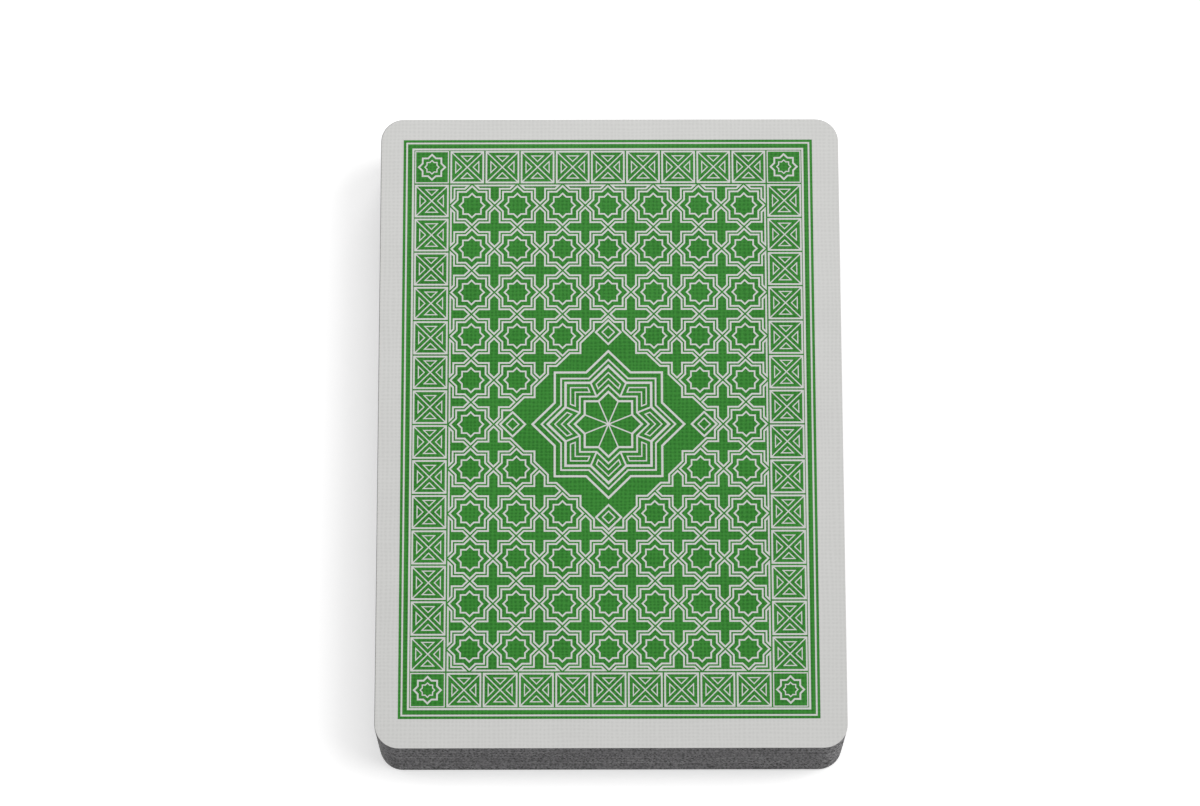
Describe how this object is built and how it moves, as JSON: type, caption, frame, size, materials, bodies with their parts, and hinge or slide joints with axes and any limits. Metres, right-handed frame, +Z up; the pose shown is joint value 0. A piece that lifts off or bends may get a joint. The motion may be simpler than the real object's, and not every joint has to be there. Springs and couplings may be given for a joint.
{
  "type": "playing card deck",
  "caption": "Squared deck of poker-size playing cards lying face down, with round corners and a printed back; the cards fan about one corner and the top card slides off.",
  "frame": {"origin": "middle of the underside of the bottom card, on the surface that the deck lies on", "axes": "+Z up through the deck towards the printed back of the top card, +Y along the cards' length towards the far short edge, +X to the right seen from above"},
  "size_m": [0.0636, 0.089, 0.0162],
  "materials": {
    "card_stock": "linen-embossed, satin varnish"
  },
  "bodies": {
    "ace_of_spades": {"ace_of_spades": "card_stock"},
    "two_of_spades": {"two_of_spades": "card_stock"},
    "three_of_spades": {"three_of_spades": "card_stock"},
    "four_of_spades": {"four_of_spades": "card_stock"},
    "five_of_spades": {"five_of_spades": "card_stock"},
    "six_of_spades": {"six_of_spades": "card_stock"},
    "seven_of_spades": {"seven_of_spades": "card_stock"},
    "eight_of_spades": {"eight_of_spades": "card_stock"},
    "nine_of_spades": {"nine_of_spades": "card_stock"},
    "ten_of_spades": {"ten_of_spades": "card_stock"},
    "jack_of_spades": {"jack_of_spades": "card_stock"},
    "queen_of_spades": {"queen_of_spades": "card_stock"},
    "king_of_spades": {"king_of_spades": "card_stock"},
    "ace_of_hearts": {"ace_of_hearts": "card_stock"},
    "two_of_hearts": {"two_of_hearts": "card_stock"},
    "three_of_hearts": {"three_of_hearts": "card_stock"},
    "four_of_hearts": {"four_of_hearts": "card_stock"},
    "five_of_hearts": {"five_of_hearts": "card_stock"},
    "six_of_hearts": {"six_of_hearts": "card_stock"},
    "seven_of_hearts": {"seven_of_hearts": "card_stock"},
    "eight_of_hearts": {"eight_of_hearts": "card_stock"},
    "nine_of_hearts": {"nine_of_hearts": "card_stock"},
    "ten_of_hearts": {"ten_of_hearts": "card_stock"},
    "jack_of_hearts": {"jack_of_hearts": "card_stock"},
    "queen_of_hearts": {"queen_of_hearts": "card_stock"},
    "king_of_hearts": {"king_of_hearts": "card_stock"},
    "ace_of_clubs": {"ace_of_clubs": "card_stock"},
    "two_of_clubs": {"two_of_clubs": "card_stock"},
    "three_of_clubs": {"three_of_clubs": "card_stock"},
    "four_of_clubs": {"four_of_clubs": "card_stock"},
    "five_of_clubs": {"five_of_clubs": "card_stock"},
    "six_of_clubs": {"six_of_clubs": "card_stock"},
    "seven_of_clubs": {"seven_of_clubs": "card_stock"},
    "eight_of_clubs": {"eight_of_clubs": "card_stock"},
    "nine_of_clubs": {"nine_of_clubs": "card_stock"},
    "ten_of_clubs": {"ten_of_clubs": "card_stock"},
    "jack_of_clubs": {"jack_of_clubs": "card_stock"},
    "queen_of_clubs": {"queen_of_clubs": "card_stock"},
    "king_of_clubs": {"king_of_clubs": "card_stock"},
    "ace_of_diamonds": {"ace_of_diamonds": "card_stock"},
    "two_of_diamonds": {"two_of_diamonds": "card_stock"},
    "three_of_diamonds": {"three_of_diamonds": "card_stock"},
    "four_of_diamonds": {"four_of_diamonds": "card_stock"},
    "five_of_diamonds": {"five_of_diamonds": "card_stock"},
    "six_of_diamonds": {"six_of_diamonds": "card_stock"},
    "seven_of_diamonds": {"seven_of_diamonds": "card_stock"},
    "eight_of_diamonds": {"eight_of_diamonds": "card_stock"},
    "nine_of_diamonds": {"nine_of_diamonds": "card_stock"},
    "ten_of_diamonds": {"ten_of_diamonds": "card_stock"},
    "jack_of_diamonds": {"jack_of_diamonds": "card_stock"},
    "queen_of_diamonds": {"queen_of_diamonds": "card_stock"},
    "king_of_diamonds": {"king_of_diamonds": "card_stock"},
    "joker_one": {"joker_one": "card_stock"},
    "joker_two": {"joker_two": "card_stock"}
  },
  "joints": [
    {"name": "fan_two_of_spades", "type": "hinge", "parent": "ace_of_spades", "child": "two_of_spades", "pos_m": [-0.02851, -0.04129, 0.0003], "axis": [0, 0, -1], "range_deg": [0, 2.89]},
    {"name": "fan_three_of_spades", "type": "hinge", "parent": "ace_of_spades", "child": "three_of_spades", "pos_m": [-0.02861, -0.04119, 0.0006], "axis": [0, 0, -1], "range_deg": [0, 5.77]},
    {"name": "fan_four_of_spades", "type": "hinge", "parent": "ace_of_spades", "child": "four_of_spades", "pos_m": [-0.0285, -0.0413, 0.0009], "axis": [0, 0, -1], "range_deg": [0, 8.65]},
    {"name": "fan_five_of_spades", "type": "hinge", "parent": "ace_of_spades", "child": "five_of_spades", "pos_m": [-0.02856, -0.04124, 0.0012], "axis": [0, 0, -1], "range_deg": [0, 11.54]},
    {"name": "fan_six_of_spades", "type": "hinge", "parent": "ace_of_spades", "child": "six_of_spades", "pos_m": [-0.02858, -0.04122, 0.0015], "axis": [0, 0, -1], "range_deg": [0, 14.43]},
    {"name": "fan_seven_of_spades", "type": "hinge", "parent": "ace_of_spades", "child": "seven_of_spades", "pos_m": [-0.02849, -0.04131, 0.0018], "axis": [0, 0, -1], "range_deg": [0, 17.31]},
    {"name": "fan_eight_of_spades", "type": "hinge", "parent": "ace_of_spades", "child": "eight_of_spades", "pos_m": [-0.0286, -0.0412, 0.0021], "axis": [0, 0, -1], "range_deg": [0, 20.19]},
    {"name": "fan_nine_of_spades", "type": "hinge", "parent": "ace_of_spades", "child": "nine_of_spades", "pos_m": [-0.02853, -0.04127, 0.0024], "axis": [0, 0, -1], "range_deg": [0, 23.08]},
    {"name": "fan_ten_of_spades", "type": "hinge", "parent": "ace_of_spades", "child": "ten_of_spades", "pos_m": [-0.02853, -0.04127, 0.0027], "axis": [0, 0, -1], "range_deg": [0, 25.96]},
    {"name": "fan_jack_of_spades", "type": "hinge", "parent": "ace_of_spades", "child": "jack_of_spades", "pos_m": [-0.0286, -0.0412, 0.003], "axis": [0, 0, -1], "range_deg": [0, 28.85]},
    {"name": "fan_queen_of_spades", "type": "hinge", "parent": "ace_of_spades", "child": "queen_of_spades", "pos_m": [-0.02849, -0.04131, 0.0033], "axis": [0, 0, -1], "range_deg": [0, 31.73]},
    {"name": "fan_king_of_spades", "type": "hinge", "parent": "ace_of_spades", "child": "king_of_spades", "pos_m": [-0.02858, -0.04122, 0.0036], "axis": [0, 0, -1], "range_deg": [0, 34.62]},
    {"name": "fan_ace_of_hearts", "type": "hinge", "parent": "ace_of_spades", "child": "ace_of_hearts", "pos_m": [-0.02856, -0.04124, 0.0039], "axis": [0, 0, -1], "range_deg": [0, 37.5]},
    {"name": "fan_two_of_hearts", "type": "hinge", "parent": "ace_of_spades", "child": "two_of_hearts", "pos_m": [-0.0285, -0.0413, 0.0042], "axis": [0, 0, -1], "range_deg": [0, 40.39]},
    {"name": "fan_three_of_hearts", "type": "hinge", "parent": "ace_of_spades", "child": "three_of_hearts", "pos_m": [-0.02861, -0.04119, 0.0045], "axis": [0, 0, -1], "range_deg": [0, 43.27]},
    {"name": "fan_four_of_hearts", "type": "hinge", "parent": "ace_of_spades", "child": "four_of_hearts", "pos_m": [-0.02851, -0.04129, 0.0048], "axis": [0, 0, -1], "range_deg": [0, 46.16]},
    {"name": "fan_five_of_hearts", "type": "hinge", "parent": "ace_of_spades", "child": "five_of_hearts", "pos_m": [-0.02855, -0.04125, 0.0051], "axis": [0, 0, -1], "range_deg": [0, 49.04]},
    {"name": "fan_six_of_hearts", "type": "hinge", "parent": "ace_of_spades", "child": "six_of_hearts", "pos_m": [-0.02859, -0.04121, 0.0054], "axis": [0, 0, -1], "range_deg": [0, 51.92]},
    {"name": "fan_seven_of_hearts", "type": "hinge", "parent": "ace_of_spades", "child": "seven_of_hearts", "pos_m": [-0.02849, -0.04131, 0.0057], "axis": [0, 0, -1], "range_deg": [0, 54.81]},
    {"name": "fan_eight_of_hearts", "type": "hinge", "parent": "ace_of_spades", "child": "eight_of_hearts", "pos_m": [-0.0286, -0.0412, 0.006], "axis": [0, 0, -1], "range_deg": [0, 57.69]},
    {"name": "fan_nine_of_hearts", "type": "hinge", "parent": "ace_of_spades", "child": "nine_of_hearts", "pos_m": [-0.02854, -0.04126, 0.0063], "axis": [0, 0, -1], "range_deg": [0, 60.58]},
    {"name": "fan_ten_of_hearts", "type": "hinge", "parent": "ace_of_spades", "child": "ten_of_hearts", "pos_m": [-0.02852, -0.04128, 0.0066], "axis": [0, 0, -1], "range_deg": [0, 63.46]},
    {"name": "fan_jack_of_hearts", "type": "hinge", "parent": "ace_of_spades", "child": "jack_of_hearts", "pos_m": [-0.02861, -0.04119, 0.0069], "axis": [0, 0, -1], "range_deg": [0, 66.35]},
    {"name": "fan_queen_of_hearts", "type": "hinge", "parent": "ace_of_spades", "child": "queen_of_hearts", "pos_m": [-0.0285, -0.0413, 0.0072], "axis": [0, 0, -1], "range_deg": [0, 69.23]},
    {"name": "fan_king_of_hearts", "type": "hinge", "parent": "ace_of_spades", "child": "king_of_hearts", "pos_m": [-0.02857, -0.04123, 0.0075], "axis": [0, 0, -1], "range_deg": [0, 72.12]},
    {"name": "fan_ace_of_clubs", "type": "hinge", "parent": "ace_of_spades", "child": "ace_of_clubs", "pos_m": [-0.02858, -0.04122, 0.0078], "axis": [0, 0, -1], "range_deg": [0, 75]},
    {"name": "fan_two_of_clubs", "type": "hinge", "parent": "ace_of_spades", "child": "two_of_clubs", "pos_m": [-0.02849, -0.04131, 0.0081], "axis": [0, 0, -1], "range_deg": [0, 77.89]},
    {"name": "fan_three_of_clubs", "type": "hinge", "parent": "ace_of_spades", "child": "three_of_clubs", "pos_m": [-0.02861, -0.04119, 0.0084], "axis": [0, 0, -1], "range_deg": [0, 80.77]},
    {"name": "fan_four_of_clubs", "type": "hinge", "parent": "ace_of_spades", "child": "four_of_clubs", "pos_m": [-0.02852, -0.04128, 0.0087], "axis": [0, 0, -1], "range_deg": [0, 83.66]},
    {"name": "fan_five_of_clubs", "type": "hinge", "parent": "ace_of_spades", "child": "five_of_clubs", "pos_m": [-0.02853, -0.04127, 0.009], "axis": [0, 0, -1], "range_deg": [0, 86.54]},
    {"name": "fan_six_of_clubs", "type": "hinge", "parent": "ace_of_spades", "child": "six_of_clubs", "pos_m": [-0.0286, -0.0412, 0.0093], "axis": [0, 0, -1], "range_deg": [0, 89.42]},
    {"name": "fan_seven_of_clubs", "type": "hinge", "parent": "ace_of_spades", "child": "seven_of_clubs", "pos_m": [-0.02849, -0.04131, 0.0096], "axis": [0, 0, -1], "range_deg": [0, 92.31]},
    {"name": "fan_eight_of_clubs", "type": "hinge", "parent": "ace_of_spades", "child": "eight_of_clubs", "pos_m": [-0.02859, -0.04121, 0.0099], "axis": [0, 0, -1], "range_deg": [0, 95.19]},
    {"name": "fan_nine_of_clubs", "type": "hinge", "parent": "ace_of_spades", "child": "nine_of_clubs", "pos_m": [-0.02856, -0.04124, 0.0102], "axis": [0, 0, -1], "range_deg": [0, 98.08]},
    {"name": "fan_ten_of_clubs", "type": "hinge", "parent": "ace_of_spades", "child": "ten_of_clubs", "pos_m": [-0.02851, -0.04129, 0.0105], "axis": [0, 0, -1], "range_deg": [0, 100.96]},
    {"name": "fan_jack_of_clubs", "type": "hinge", "parent": "ace_of_spades", "child": "jack_of_clubs", "pos_m": [-0.02861, -0.04119, 0.0108], "axis": [0, 0, -1], "range_deg": [0, 103.85]},
    {"name": "fan_queen_of_clubs", "type": "hinge", "parent": "ace_of_spades", "child": "queen_of_clubs", "pos_m": [-0.02851, -0.04129, 0.0111], "axis": [0, 0, -1], "range_deg": [0, 106.73]},
    {"name": "fan_king_of_clubs", "type": "hinge", "parent": "ace_of_spades", "child": "king_of_clubs", "pos_m": [-0.02856, -0.04124, 0.0114], "axis": [0, 0, -1], "range_deg": [0, 109.62]},
    {"name": "fan_ace_of_diamonds", "type": "hinge", "parent": "ace_of_spades", "child": "ace_of_diamonds", "pos_m": [-0.02859, -0.04121, 0.0117], "axis": [0, 0, -1], "range_deg": [0, 112.5]},
    {"name": "fan_two_of_diamonds", "type": "hinge", "parent": "ace_of_spades", "child": "two_of_diamonds", "pos_m": [-0.02849, -0.04131, 0.012], "axis": [0, 0, -1], "range_deg": [0, 115.39]},
    {"name": "fan_three_of_diamonds", "type": "hinge", "parent": "ace_of_spades", "child": "three_of_diamonds", "pos_m": [-0.0286, -0.0412, 0.0123], "axis": [0, 0, -1], "range_deg": [0, 118.27]},
    {"name": "fan_four_of_diamonds", "type": "hinge", "parent": "ace_of_spades", "child": "four_of_diamonds", "pos_m": [-0.02853, -0.04127, 0.0126], "axis": [0, 0, -1], "range_deg": [0, 121.16]},
    {"name": "fan_five_of_diamonds", "type": "hinge", "parent": "ace_of_spades", "child": "five_of_diamonds", "pos_m": [-0.02852, -0.04128, 0.0129], "axis": [0, 0, -1], "range_deg": [0, 124.04]},
    {"name": "fan_six_of_diamonds", "type": "hinge", "parent": "ace_of_spades", "child": "six_of_diamonds", "pos_m": [-0.02861, -0.04119, 0.0132], "axis": [0, 0, -1], "range_deg": [0, 126.92]},
    {"name": "fan_seven_of_diamonds", "type": "hinge", "parent": "ace_of_spades", "child": "seven_of_diamonds", "pos_m": [-0.02849, -0.04131, 0.0135], "axis": [0, 0, -1], "range_deg": [0, 129.81]},
    {"name": "fan_eight_of_diamonds", "type": "hinge", "parent": "ace_of_spades", "child": "eight_of_diamonds", "pos_m": [-0.02858, -0.04122, 0.0138], "axis": [0, 0, -1], "range_deg": [0, 132.69]},
    {"name": "fan_nine_of_diamonds", "type": "hinge", "parent": "ace_of_spades", "child": "nine_of_diamonds", "pos_m": [-0.02857, -0.04123, 0.0141], "axis": [0, 0, -1], "range_deg": [0, 135.58]},
    {"name": "fan_ten_of_diamonds", "type": "hinge", "parent": "ace_of_spades", "child": "ten_of_diamonds", "pos_m": [-0.0285, -0.0413, 0.0144], "axis": [0, 0, -1], "range_deg": [0, 138.46]},
    {"name": "fan_jack_of_diamonds", "type": "hinge", "parent": "ace_of_spades", "child": "jack_of_diamonds", "pos_m": [-0.02861, -0.04119, 0.0147], "axis": [0, 0, -1], "range_deg": [0, 141.35]},
    {"name": "fan_queen_of_diamonds", "type": "hinge", "parent": "ace_of_spades", "child": "queen_of_diamonds", "pos_m": [-0.02852, -0.04128, 0.015], "axis": [0, 0, -1], "range_deg": [0, 144.23]},
    {"name": "fan_king_of_diamonds", "type": "hinge", "parent": "ace_of_spades", "child": "king_of_diamonds", "pos_m": [-0.02854, -0.04126, 0.0153], "axis": [0, 0, -1], "range_deg": [0, 147.12]},
    {"name": "fan", "type": "hinge", "parent": "ace_of_spades", "child": "joker_one", "pos_m": [-0.0286, -0.0412, 0.0156], "axis": [0, 0, -1], "range_deg": [0, 150]},
    {"name": "deal", "type": "slide", "parent": "joker_one", "child": "joker_two", "axis": [1, 0, 0], "range_m": [0, 0.0635]}
  ],
  "couplings": [
    {"joint": "fan_two_of_spades", "follows": "fan", "ratio": 0.019231},
    {"joint": "fan_three_of_spades", "follows": "fan", "ratio": 0.038462},
    {"joint": "fan_four_of_spades", "follows": "fan", "ratio": 0.057692},
    {"joint": "fan_five_of_spades", "follows": "fan", "ratio": 0.076923},
    {"joint": "fan_six_of_spades", "follows": "fan", "ratio": 0.096154},
    {"joint": "fan_seven_of_spades", "follows": "fan", "ratio": 0.11538},
    {"joint": "fan_eight_of_spades", "follows": "fan", "ratio": 0.13462},
    {"joint": "fan_nine_of_spades", "follows": "fan", "ratio": 0.15385},
    {"joint": "fan_ten_of_spades", "follows": "fan", "ratio": 0.17308},
    {"joint": "fan_jack_of_spades", "follows": "fan", "ratio": 0.19231},
    {"joint": "fan_queen_of_spades", "follows": "fan", "ratio": 0.21154},
    {"joint": "fan_king_of_spades", "follows": "fan", "ratio": 0.23077},
    {"joint": "fan_ace_of_hearts", "follows": "fan", "ratio": 0.25},
    {"joint": "fan_two_of_hearts", "follows": "fan", "ratio": 0.26923},
    {"joint": "fan_three_of_hearts", "follows": "fan", "ratio": 0.28846},
    {"joint": "fan_four_of_hearts", "follows": "fan", "ratio": 0.30769},
    {"joint": "fan_five_of_hearts", "follows": "fan", "ratio": 0.32692},
    {"joint": "fan_six_of_hearts", "follows": "fan", "ratio": 0.34615},
    {"joint": "fan_seven_of_hearts", "follows": "fan", "ratio": 0.36538},
    {"joint": "fan_eight_of_hearts", "follows": "fan", "ratio": 0.38462},
    {"joint": "fan_nine_of_hearts", "follows": "fan", "ratio": 0.40385},
    {"joint": "fan_ten_of_hearts", "follows": "fan", "ratio": 0.42308},
    {"joint": "fan_jack_of_hearts", "follows": "fan", "ratio": 0.44231},
    {"joint": "fan_queen_of_hearts", "follows": "fan", "ratio": 0.46154},
    {"joint": "fan_king_of_hearts", "follows": "fan", "ratio": 0.48077},
    {"joint": "fan_ace_of_clubs", "follows": "fan", "ratio": 0.5},
    {"joint": "fan_two_of_clubs", "follows": "fan", "ratio": 0.51923},
    {"joint": "fan_three_of_clubs", "follows": "fan", "ratio": 0.53846},
    {"joint": "fan_four_of_clubs", "follows": "fan", "ratio": 0.55769},
    {"joint": "fan_five_of_clubs", "follows": "fan", "ratio": 0.57692},
    {"joint": "fan_six_of_clubs", "follows": "fan", "ratio": 0.59615},
    {"joint": "fan_seven_of_clubs", "follows": "fan", "ratio": 0.61538},
    {"joint": "fan_eight_of_clubs", "follows": "fan", "ratio": 0.63462},
    {"joint": "fan_nine_of_clubs", "follows": "fan", "ratio": 0.65385},
    {"joint": "fan_ten_of_clubs", "follows": "fan", "ratio": 0.67308},
    {"joint": "fan_jack_of_clubs", "follows": "fan", "ratio": 0.69231},
    {"joint": "fan_queen_of_clubs", "follows": "fan", "ratio": 0.71154},
    {"joint": "fan_king_of_clubs", "follows": "fan", "ratio": 0.73077},
    {"joint": "fan_ace_of_diamonds", "follows": "fan", "ratio": 0.75},
    {"joint": "fan_two_of_diamonds", "follows": "fan", "ratio": 0.76923},
    {"joint": "fan_three_of_diamonds", "follows": "fan", "ratio": 0.78846},
    {"joint": "fan_four_of_diamonds", "follows": "fan", "ratio": 0.80769},
    {"joint": "fan_five_of_diamonds", "follows": "fan", "ratio": 0.82692},
    {"joint": "fan_six_of_diamonds", "follows": "fan", "ratio": 0.84615},
    {"joint": "fan_seven_of_diamonds", "follows": "fan", "ratio": 0.86538},
    {"joint": "fan_eight_of_diamonds", "follows": "fan", "ratio": 0.88462},
    {"joint": "fan_nine_of_diamonds", "follows": "fan", "ratio": 0.90385},
    {"joint": "fan_ten_of_diamonds", "follows": "fan", "ratio": 0.92308},
    {"joint": "fan_jack_of_diamonds", "follows": "fan", "ratio": 0.94231},
    {"joint": "fan_queen_of_diamonds", "follows": "fan", "ratio": 0.96154},
    {"joint": "fan_king_of_diamonds", "follows": "fan", "ratio": 0.98077}
  ]
}
